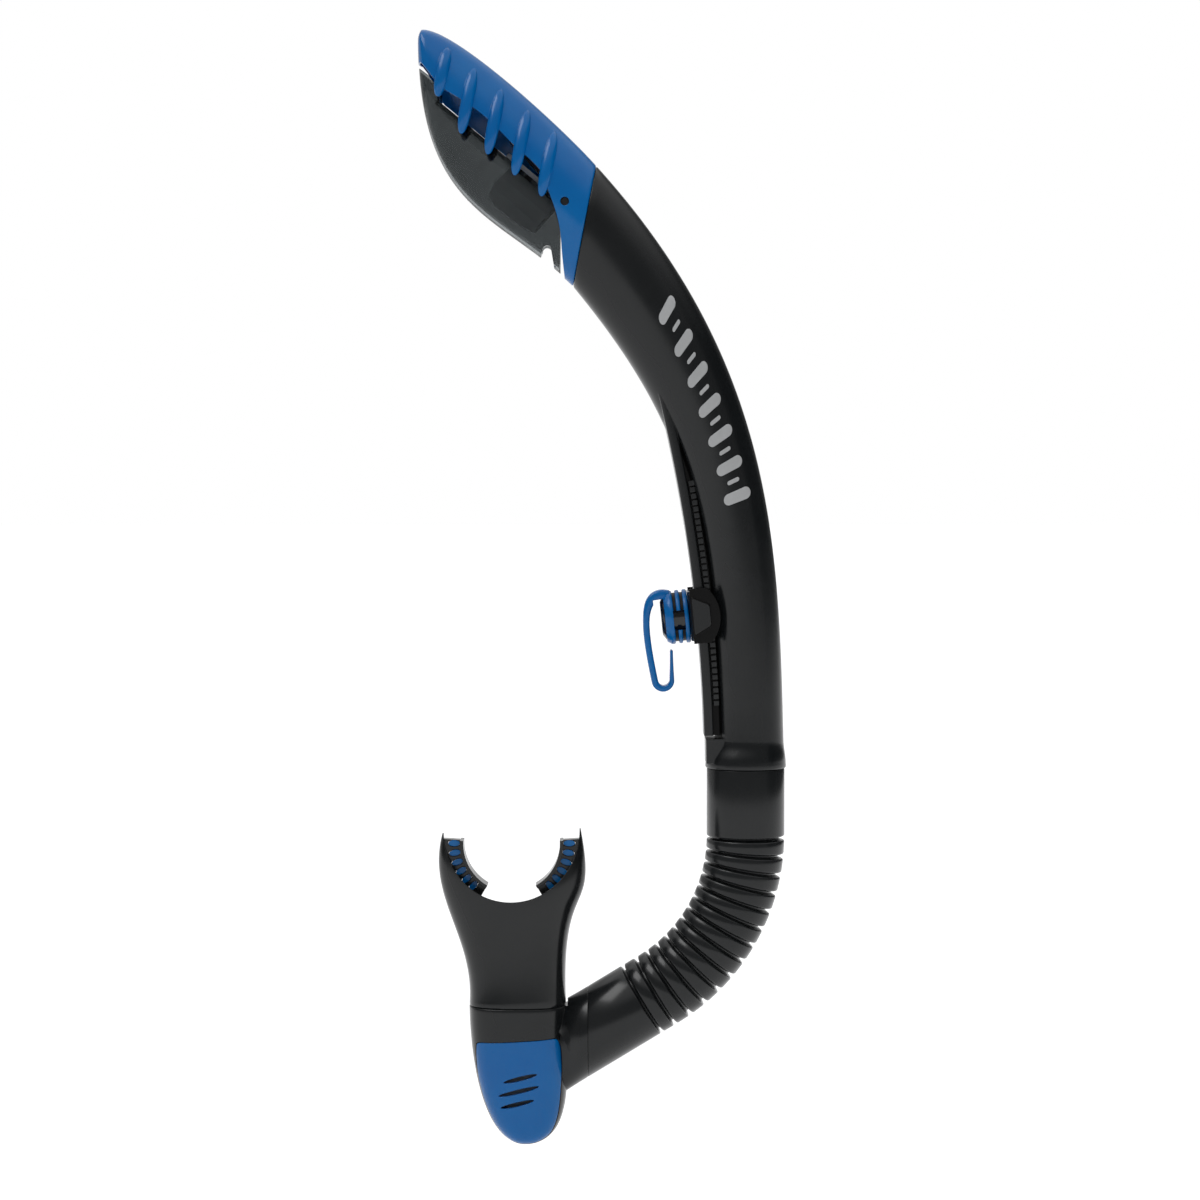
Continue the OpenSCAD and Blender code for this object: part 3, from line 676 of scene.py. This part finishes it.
# ---------------------------------------------------------------- hose
def hose_point(s):
    """Centre and heading, as an angle from straight down, at length s below the upper cuff."""
    if s < 0:
        return np.array((HOSE_X, HOSE_TOP - s)), 0.0
    turn = min(s / BEND_R, BEND_A)
    rest = max(0, s - BEND_R * BEND_A)
    x = HOSE_X - BEND_R * (1 - math.cos(turn)) - rest * math.sin(turn)
    return np.array((x, HOSE_TOP - BEND_R * math.sin(turn) - rest * math.cos(turn))), turn


def hose_ring(s, r):
    p, turn = hose_point(s)
    out = np.array((-math.cos(turn), math.sin(turn)))
    return ring(p + out * r, p - out * r, r)


def seam_ring(r, x):
    """The cuff's round section carried on to an upright plane."""
    turn = hose_point(HOSE_LEN)[1]
    points = hose_ring(HOSE_LEN, r)
    points[:, 2] -= (points[:, 0] - x) / math.tan(turn)
    points[:, 0] = x
    return points


def hose_rings():
    pitch = HOSE_LEN / RINGS
    profile = [(-26.2, HOSE_R - 0.4), (-26.05, HOSE_R - 0.12), (-25.8, HOSE_R), (-0.55, HOSE_R),
               (-0.25, HOSE_R - 0.1), (-0.05, HOSE_R - 0.4), (0.05, HOSE_R - 0.9), (0.2, GROOVE_R)]
    for i in range(RINGS):
        s = i * pitch
        profile += [(s + 0.75, GROOVE_R), (s + 0.95, GROOVE_R + 0.2), (s + 1.3, HOSE_R - 0.65),
                    (s + 1.45, HOSE_R - 0.22), (s + 1.8, HOSE_R), (s + pitch - 0.75, HOSE_R),
                    (s + pitch - 0.35, HOSE_R - 0.22), (s + pitch - 0.15, HOSE_R - 0.65),
                    (s + pitch + 0.1, GROOVE_R + 0.15), (s + pitch + 0.25, GROOVE_R)]
    end = HOSE_LEN
    profile += [(end + 0.75, GROOVE_R), (end + 0.9, GROOVE_R + 0.2), (end + 1.1, HOSE_R - 0.65),
                (end + 1.3, HOSE_R - 0.2), (end + 1.6, HOSE_R)]
    outside = [hose_ring(s, r) for s, r in profile]
    x = HOSE_END_X + 0.05
    seam = [seam_ring(HOSE_R, x + 0.25), seam_ring(HOSE_R - 0.25, x), seam_ring(LOWER_CUFF_R, x)]
    inside = [hose_ring(end + 7.4, LOWER_CUFF_R), hose_ring(end + 7.4, BORE_R)]
    inside += [hose_ring(s, BORE_R) for s in steps(end, -8.6, 40)]
    inside += [hose_ring(-8.6, UPPER_CUFF_R), hose_ring(-26.2, UPPER_CUFF_R)]
    return outside + seam + inside


def make_hose():
    body = tube("hose", hose_rings())
    finish(body, HOSE, None, "hose_silicone", "flex_hose", angle=50)
    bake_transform(body)


# ---------------------------------------------------------------- junction
# rows of the purge cover's grooves, counted from its middle, and the exhaust slots' count
COVER_GROOVES, HOUSING_SLOTS = (-1, 0, 1), 5


def jun_ring(t, inset):
    return ring(bezier(JUN_R, t), bezier(JUN_L, t), JUN_DEPTH * math.sqrt(1 - t ** 4), inset, e=2.7)


def jun_skin(t0, t1, n, inset):
    return skin("jun", [jun_ring(t, inset) for t in steps(t0, t1, n)])


def neck(inset, z0, z1):
    return skin("neck", [ring((SEAM_R, z), (SEAM_L, z), JUN_DEPTH, inset, e=2.7) for z in (z0, z1)])


def branch(inset):
    """Upright sections from the hose's end: full depth there, shallower at the body."""
    p, turn = hose_point(HOSE_LEN)
    r = (HOSE_R - inset) / math.sin(turn)
    rings = []
    for x in steps(HOSE_END_X, HOSE_END_X - 18.2, 28):
        w = smooth((HOSE_END_X - 1 - x) / 11)
        z = p[1] + (x - p[0]) / math.tan(turn)
        rings.append(ring((x, z + r + 0.4 * w), (x, z - r - 0.4 * w), HOSE_R - 5.2 * w - inset))
    return skin("branch", rings)


def branch_place():
    p, turn = hose_point(HOSE_LEN)
    return Matrix.Translation((p[0], 0, p[1])) @ Matrix.Rotation(math.pi / 2 + turn, 4, "Y")


def shield_outline(grow=1.0):
    """Side view of the purge cover: a nearly straight top, and a smooth curve round the rest."""
    corners = [(-70.3, -152.1), (-69.2, -150.7), (-40.6, -149.1), (-39, -150), (-37.8, -155), (-37.8, -165.6),
               (-39, -178), (-41.7, -185.6), (-46, -189), (-51.9, -190.3), (-57, -189.2), (-61.6, -186),
               (-65.8, -179.5), (-68.7, -169.8), (-70.2, -160)]
    middle = np.array((-54, -171))
    corners = [middle + (np.array(c) - middle) * grow for c in corners]
    rest = corners[2:] + corners[:2]
    return [tuple(p) for p in catmull(rest, 6)[:-1]] + [tuple(corners[1])]


def smoke_zone(y0):
    """Lower end of the junction, from depth y0 back, that the smoke-grey housing takes."""
    outline = [(-85, -156.5), (-62, -160), (-52, -167), (-43, -176.6),
               (-28, -176.6), (-28, -200), (-85, -200)]
    return slab("smoke", outline, y0, 30)


def depth_block(y0, y1):
    """All of the junction between two depths."""
    return block("depth", (-100, y0, -220), (0, y1, -120))


def make_junction():
    top_edge = [jun_ring(0.0005, 0.5), jun_ring(0.005, 0.1)]
    body = skin("junction", top_edge + [jun_ring(t, 0) for t in steps(0.01, 0.985, 60)])
    arm = cut(branch(0), block("room", (-100, -50, SEAM_Z - 0.05), (SEAM_R + 0.6, 50, -89)))
    join(body, neck(2.3, -141, -128.5), arm, rod("spigot", 8, 34, SPIGOT_R, branch_place()))
    cut(body, jun_skin(0, 0.93, 50, JUN_WALL), neck(4.2, -145, -120),
        rod("bore", 0, 31.5, SPIGOT_BORE, branch_place()), branch(4), smoke_zone(-4.8))
    cut(body, meet(slab("seat", shield_outline(1.012), -40, 40), depth_block(-40, COVER_Y + 0.05)))
    floor = meet(jun_skin(0, 0.97, 40, 1.2), slab("pad", shield_outline(1.08), -40, 40),
                 depth_block(COVER_Y + 0.05, -4.9))
    cut(floor, rod("seat_hole", -20, 0, SEAT_R, across(*PURGE)))
    join(body, floor)
    body.name = "junction_shell"
    finish(body, BARREL, "mouth_end", "barrel_plastic", "junction_body")


def make_purge_cover():
    body = meet(jun_skin(0.02, 0.985, 70, 0), slab("shield", shield_outline(), -40, 40),
                depth_block(-40, COVER_Y))
    cut(body, jun_skin(0, 0.92, 50, 1.8))
    slant = Matrix.Rotation(math.radians(-14), 4, "Y")
    for i in COVER_GROOVES:
        half = 8 - abs(i) * 1.4
        groove = [(half * math.cos(k * math.pi / 24), 0.9 * math.sin(k * math.pi / 24)) for k in range(48)]
        tool = slab("groove", groove, -40, 0)
        put(tool, Matrix.Translation((PURGE[0] + i * 0.6, 0, -169 + i * 5)) @ slant)
        cut(body, tool)
    body.name = "purge_cover_shell"
    finish(body, BLUE, "mouth_end", "blue_plastic", "purge_cover")


def make_purge_housing():
    body = meet(jun_skin(0.02, 0.985, 70, 0), smoke_zone(-4.75))
    cut(body, jun_skin(0, 0.94, 50, 2.3))
    for i in range(HOUSING_SLOTS):
        cut(body, block("slot", (-60 + i * 4, 0, -186), (-58 + i * 4, 40, -172)))
    body.name = "purge_housing_shell"
    finish(body, SMOKE, "mouth_end", "smoke_plastic", "purge_housing")


# ---------------------------------------------------------------- mouthpiece
# bite wings: inner radius, outer radius, half thickness, and the angles they span, in degrees
WING, WING_RIM, WING_SPAN = (19.2, 40, 2.6), (18.6, 19.9, 5.6), (-3.5, 60)
# radius of the scoop cut through the mouthpiece's upper edge
SCOOP_R = 28.4


def lip_ring(t, inset):
    depth = float(bezier(np.array(LIP_DEPTH), t))
    return ring(bezier(LIP_R, t), bezier(LIP_L, t), depth, inset, e=2.7 - 0.7 * smooth(t * 2))


def lip_skin(t0, t1, n, inset):
    return skin("lip", [lip_ring(t, inset) for t in steps(t0, t1, n)])


def bite_arc(s, r0, r1, w, a0, a1):
    """Sector of a ring about the bite's middle, on side s."""
    rings = []
    for a in steps(a0, a1, 48):
        c, d = math.cos(math.radians(a)), math.sin(math.radians(a))
        rings.append(np.array([(BITE[0] + s * r * c, y, BITE[1] - r * d)
                               for r, y in ((r0, -w), (r1, -w), (r1, w), (r0, w))]))
    return skin("arc", rings)


def bite_stud(s, k, grow):
    """Oval that shows through the bite wing."""
    a = math.radians(k * 48 / (STUDS - 1))
    place = Matrix.Translation((BITE[0], 0, BITE[1])) @ Matrix.Rotation(s * a, 4, "Y")
    place = place @ Matrix.Translation((s * 22.2, 0, 0)) @ Matrix.Diagonal((1.95, 1, 1, 1))
    obj = rod("stud", -2.95, 2.95, 1.15 + grow, Matrix.Rotation(math.pi / 2, 4, "Z"), 48)
    put(obj, place)
    return obj


def bite_core(s, grow):
    body = bite_arc(s, 21 - grow, 23.4 + grow, 1.2 + grow, -2 - grow * 3, 50 + grow * 3)
    for k in range(STUDS):
        join(body, bite_stud(s, k, grow))
    return body


def make_mouthpiece():
    lower_edge = [lip_ring(0.0005, 0.5), lip_ring(0.005, 0.1)]
    body = skin("mouth_shell", lower_edge + [lip_ring(t, 0) for t in steps(0.01, 1, 80)])
    cut(body, lip_skin(-0.02, 1.05, 80, 2))
    scoop = rod("scoop", -45, 45, SCOOP_R, Matrix.Rotation(math.pi / 2, 4, "Z"), 128)
    place = Matrix.Translation((BITE[0] - 0.1, -13, -67.4)) @ Matrix.Rotation(math.radians(-11), 4, "X")
    put(scoop, place @ Matrix.Diagonal((26.3 / SCOOP_R, 1, 1, 1)))
    cut(body, scoop)
    wings = lip_skin(0.2, 1, 60, 0.5)
    arcs = bite_arc(-1, *WING, *WING_SPAN)
    join(arcs, bite_arc(1, *WING, *WING_SPAN), bite_arc(-1, *WING_RIM, *WING_SPAN),
         bite_arc(1, *WING_RIM, *WING_SPAN))
    join(body, meet(wings, arcs))
    cut(body, neck(2.2, -145, -128.3), bite_core(-1, 0.1), bite_core(1, 0.1))
    body.name = "mouthpiece_skin"
    finish(body, MOUTH, "mouth_end", "mouth_silicone", "mouthpiece")


# ---------------------------------------------------------------- keeper slider
# clearance on the rail, height along it, and the slant of the cut-off corners in degrees
KEEPER_GAP, KEEPER_H, CORNER_SLANT = 0.3, 19, 33


def wedge(low, high, s):
    """Raised face of a jaw on side s; low and high are each a depth and the outline there."""
    (y0, a), (y1, b) = low, high
    return skin("wedge", [np.array([(x, s * y, z) for x, z in pts]) for y, pts in ((y0, a), (y1, b))])


def face_outline(x0, x1, h0, h1, r=0.9):
    """Trapezoid, tall on the left, with rounded corners."""
    corners = [Vector((x0, h0)), Vector((x1, h1)), Vector((x1, -h1)), Vector((x0, -h0))]
    out = []
    for i, c in enumerate(corners):
        a, b = (corners[i - 1] - c).normalized() * r, (corners[(i + 1) % 4] - c).normalized() * r
        out += [tuple(c + a * (1 - t) ** 2 + b * t * t) for t in steps(0, 1, 5)]
    return out


def make_slider():
    g, half = KEEPER_GAP, math.degrees(KEEPER_H / RAIL_R / 2)
    jaw = [(609.9, 9.1), (610, 9.6), (610.8, 11.4), (611.2, 11.8), (616.9, 11.8), (617.3, 11.7),
           (618.3, 10.7), (618.4, 10.3), (618.4, 8.6), (616.2 + g, 8.6), (616.2 + g, 9.2 + g),
           (612.6 - g, 9.2 + g)]
    middle = math.degrees(KEEP_A)
    body = rail(jaw, middle - half, middle + half, 16)
    parts = []
    foot, face = (11.5, face_outline(-2.5, 5.8, 9, 5.8)), (13.9, face_outline(-1.35, 5.15, 7.1, 3.8))
    for s in (-1, 1):
        ear_place = Matrix.Translation((-6, 0, 0)) @ Matrix.Rotation(-s * math.pi / 2, 4, "Z")
        ear_zone = block("ear_zone", (-2, min(s * 11, s * 14), -10.5), (10, max(s * 11, s * 14), 10.5))
        parts += [wedge(foot, face, s), meet(rod("ear", -11.5, -13.2, 15, ear_place), ear_zone)]
    for part in parts:
        put(part, keeper_place())
    join(body, *parts)
    cut(body, rod("socket", -3, -0.9, 5.1, keeper_place()))
    for s in (-1, 1):
        tool = block("corner", (-3, -11.4, -3), (13, 11.4, 3))
        slant = Matrix.Rotation(math.radians(s * CORNER_SLANT), 4, "Y")
        shift = Matrix.Translation((1.5, 0, s * (KEEPER_H / 2 + 2))) @ slant
        put(tool, keeper_place() @ shift @ Matrix.Translation((0, 0, s * 3)))
        cut(body, tool)
    body.name = "keeper_shell"
    finish(body, KEEPER, "keeper", "keeper_plastic", "keeper_slider")
    # painted shade on the keeper's sides and ears
    paint(body, PAINTED_SHADE, lambda x, y, z: 11.9 < abs(y) < 13.85)
    paint(body, BARREL, lambda x, y, z: abs(y) > 13.85)


# ---------------------------------------------------------------- strap hook
# the band's side as a Bezier curve, its turn's middle and radius, then the hub's section as (x, radius)
HOOK_PATH = [(3.4, 21), (-8.6, 23.6), (-5.2, 5), (-1.6, -12.2)]
HOOK_TURN, TURN_R = np.array((1.63, -11.5)), 3.3
HUB = [(-2.95, POST_BORE), (-2.95, 9.9), (-3.05, 10.2), (-3.3, 10.38), (-3.6, HUB_R), (-4.2, HUB_R),
       (-4.5, 10.3), (-4.68, 10.05), (-4.7, 9.45), (-5.9, 9.45), (-5.92, 10.05), (-6.1, 10.3),
       (-6.4, HUB_R), (-7, HUB_R), (-7.3, 10.3), (-7.48, 10.05), (-7.5, 9.45), (-8.7, 9.45),
       (-8.72, 10.0), (-8.9, 10.25), (-9.3, HUB_R), (-9.9, HUB_R), (-10.4, 10.25), (-11.8, 9.35),
       (-12.05, 9.1), (-12.1, 8.8), (-12.1, POST_BORE)]


def band_point(t):
    """Middle line of the band: down the side, round the turn, up to the tip."""
    if t < 1:
        return bezier(HOOK_PATH, t)
    if t < 2:
        a = math.radians(192 + 168 * (t - 1))
        return HOOK_TURN + TURN_R * np.array((math.cos(a), math.sin(a)))
    return HOOK_TURN + np.array((TURN_R - 0.2 * (t - 2), 11.4 * (t - 2)))


def band_ring(t, shrink=1.0):
    p, q = band_point(t), band_point(t + 0.01)
    along = (q - p) / np.linalg.norm(q - p)
    w = (0.62 + 0.7 * smooth((3 - t) / 2) + 0.85 * smooth((0.55 - t) / 0.5)) * shrink
    turn = np.arange(32) * math.pi / 16
    side, y = power(np.cos(turn), 3.2) * w, power(np.sin(turn), 7) * (HOOK_W / 2 - (1 - shrink) * 0.6)
    return np.stack([p[0] + along[1] * side, y, p[1] - along[0] * side], 1)


def make_hook():
    body = tube("hook_shell", [round_ring(x, r) for x, r in HUB])
    for s in (-1, 1):
        cut(body, block("window", (-8.9, s * 10 - 4, -4.75), (-4.5, s * 10 + 4, 2.75)))
    put(body, keeper_place())
    rings = [band_ring(t) for t in steps(0, 2.97, 120)] + [band_ring(3, 0.85), band_ring(3.02, 0.5)]
    band = cut(skin("band", rings), rod("bore", -16, -2, POST_BORE, keeper_place()),
               rod("end", -16, -12.14, 8.6, keeper_place()))
    join(body, band)
    finish(body, BLUE, "hook", "blue_plastic", "strap_hook", angle=40)
    back = keeper_place().inverted()

    def in_slot(x, y, z):
        p = back @ Vector((x, y, z))
        return math.hypot(p.y, p.z) < 10 and (-5.91 < p.x < -4.69 or -8.71 < p.x < -7.49)

    # painted shade on the floors of the hub's grooves
    paint(body, PAINTED_SHADE, in_slot)


# ---------------------------------------------------------------- pieces kept from the frame
def dress(node, material):
    """A CAD node whose shape is right keeps it, and gets its material."""
    obj = NODES[node]
    obj.data.materials.clear()
    obj.data.materials.append(material)


def dress_frame():
    for node, material in (("hose_coupling", INNER_BLACK), ("swivel_post", KEEPER),
                           ("valve_collar", INNER_BLACK), ("float_pin", INNER_BLACK),
                           ("float_core", CORE), ("seal_flap", VALVE), ("flap_retainer", BLUE),
                           ("bite_core_left", BLUE), ("bite_core_right", BLUE), ("purge_seat", INNER_BLACK),
                           ("purge_valve", VALVE)):
        dress(node, material)


# ---------------------------------------------------------------- light and floor
# brightness round the studio, as (angle from the front in degrees, level)
AROUND = [(-180, 0.8), (-168, 0.8), (-160, 0.45), (-112, 0.45), (-106, 0.05), (-92, 0.05), (-84, 0.22),
          (62, 0.22), (72, 0.02), (128, 0.02), (138, 0.1), (160, 0.12), (168, 0.8), (180, 0.8)]
# the white overhead fades in between these heights of the view's direction
OVERHEAD = (0.45, 0.75)


def fill_ramp(ramp, stops):
    """Grey levels at angles from -180 to 180 degrees."""
    for i, (angle, level) in enumerate(stops):
        place = (angle + 180) / 360
        stop = ramp.elements[i] if i < 2 else ramp.elements.new(place)
        stop.position = place
        stop.color = (level, level, level, 1)


def add_world():
    """Pale studio: white behind and overhead, a dimmer wide front light, and a dark gap at each side."""
    world = bpy.data.worlds.new("studio")
    bpy.context.scene.world = world
    world.use_nodes = True
    nodes, link = world.node_tree.nodes, world.node_tree.links.new
    nodes.clear()
    coords = nodes.new("ShaderNodeTexCoord")
    split = nodes.new("ShaderNodeSeparateXYZ")
    link(coords.outputs["Generated"], split.inputs[0])
    flip = nodes.new("ShaderNodeMath")
    flip.operation = "MULTIPLY"
    flip.inputs[1].default_value = -1
    link(split.outputs["Y"], flip.inputs[0])
    around = nodes.new("ShaderNodeMath")
    around.operation = "ARCTAN2"
    link(split.outputs["X"], around.inputs[0])
    link(flip.outputs[0], around.inputs[1])
    share = nodes.new("ShaderNodeMapRange")
    set_range(share, -math.pi, math.pi, 0, 1)
    link(around.outputs[0], share.inputs["Value"])
    ramp = nodes.new("ShaderNodeValToRGB")
    fill_ramp(ramp.color_ramp, AROUND)
    link(share.outputs[0], ramp.inputs[0])
    up = nodes.new("ShaderNodeMapRange")
    up.interpolation_type = "SMOOTHSTEP"
    set_range(up, *OVERHEAD, 0, 1)
    link(split.outputs["Z"], up.inputs["Value"])
    mix = nodes.new("ShaderNodeMix")
    mix.data_type = "RGBA"
    link(up.outputs[0], mix.inputs[0])
    link(ramp.outputs[0], mix.inputs[6])
    mix.inputs[7].default_value = (1, 1, 1, 1)
    studio = nodes.new("ShaderNodeBackground")
    link(mix.outputs[2], studio.inputs[0])
    plain = nodes.new("ShaderNodeBackground")
    plain.inputs[0].default_value = (1, 1, 1, 1)
    # the background itself shows plain white
    path = nodes.new("ShaderNodeLightPath")
    choose = nodes.new("ShaderNodeMixShader")
    link(path.outputs["Is Camera Ray"], choose.inputs[0])
    link(studio.outputs[0], choose.inputs[1])
    link(plain.outputs[0], choose.inputs[2])
    link(choose.outputs[0], nodes.new("ShaderNodeOutputWorld").inputs[0])


# the floor's drop below the object at rest, which leaves room for the mouth end to swing down
FLOOR_GAP, FLOOR_RADIUS, FLOOR_GLOW = 36, 20000, 0.5


def add_floor():
    """Pale round floor that also glows, to the camera and in reflections, so that it shows white."""
    n = Nodes("floor_pale")
    n.link(n.blend(n.spread(n.noise(2, 2), 0, 1), (0.86, 0.87, 0.88), (0.9, 0.9, 0.9)),
           n.shader.inputs["Base Color"])
    n.set(Roughness=0.9, Emission_Color=(1, 1, 1, 1))
    path = n.add("ShaderNodeLightPath")
    glow = n.add("ShaderNodeMath", operation="MAXIMUM")
    n.link(path.outputs["Is Camera Ray"], glow.inputs[0])
    n.link(path.outputs["Is Glossy Ray"], glow.inputs[1])
    n.link(n.spread(glow.outputs[0], 0, FLOOR_GLOW, 0, 1), n.shader.inputs["Emission Strength"])
    z = cad_box[0][2] / MM - FLOOR_GAP
    turn = [2 * math.pi * i / 64 for i in range(64)]
    edge = [(FLOOR_RADIUS * math.cos(a), FLOOR_RADIUS * math.sin(a), z) for a in turn]
    floor = solid("floor", edge, [list(range(64))])
    floor.data.materials.append(n.material)


def add_lamp(name, place, size, power, target):
    """Square lamp that shows only as a highlight."""
    data = bpy.data.lights.new(name, "AREA")
    data.shape, data.size, data.energy = "SQUARE", size, power
    lamp = bpy.data.objects.new(name, data)
    lamp.location = Vector(place) * MM
    lamp.rotation_euler = (Vector(target) - Vector(place)).to_track_quat("-Z", "Y").to_euler()
    lamp.visible_diffuse = False
    bpy.context.scene.collection.objects.link(lamp)


# ---------------------------------------------------------------- the whole scene
make_barrel()
make_print()
make_guard()
make_float()
make_hose()
make_junction()
make_purge_cover()
make_purge_housing()
make_mouthpiece()
make_slider()
make_hook()
dress_frame()
add_world()
add_floor()
add_lamp("softbox", place=(-830, -450, 1500), size=1.0, power=13, target=(-80, 0, 215))
bpy.context.scene.view_settings.view_transform = "Standard"
